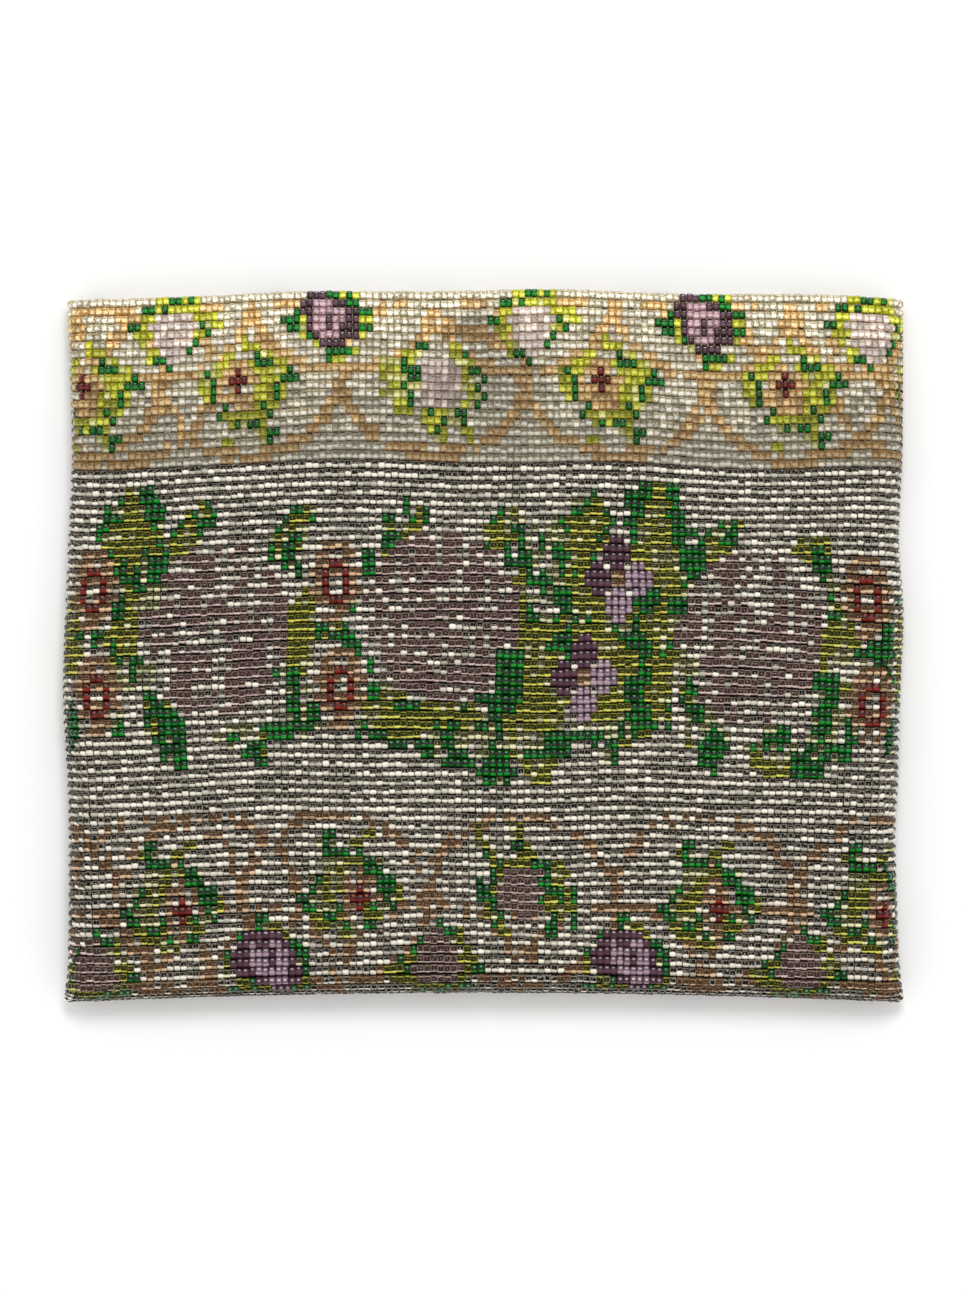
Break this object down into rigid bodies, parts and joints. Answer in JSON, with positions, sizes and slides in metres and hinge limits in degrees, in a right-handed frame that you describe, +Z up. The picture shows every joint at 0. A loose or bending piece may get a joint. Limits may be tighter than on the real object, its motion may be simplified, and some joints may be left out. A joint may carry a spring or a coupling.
{
  "type": "beaded clutch",
  "caption": "Flat open-topped pouch of woven glass seed beads with flower garlands and scalloped borders, lined and closed by a hidden snap.",
  "frame": {"origin": "on the surface that the clutch lies on, under the middle of its outline", "axes": "+X across the clutch to the right of its front, +Y from the bottom edge towards the mouth, +Z up out of the front"},
  "size_m": [0.2094, 0.1768, 0.018],
  "materials": {
    "glass_beads": "polished glass seed beads in clear, mauve, lime, green, gold, red and purple",
    "pale_cloth": "matte cream cloth",
    "dark_cloth": "matte near-black cloth",
    "snap_metal": "satin nickel"
  },
  "bodies": {
    "root": {"front_beadwork": "glass_beads", "back_beadwork": "glass_beads", "front_facing": "pale_cloth", "back_facing": "pale_cloth", "front_lining": "dark_cloth", "back_lining": "dark_cloth", "snap": "snap_metal"}
  },
  "joints": []
}
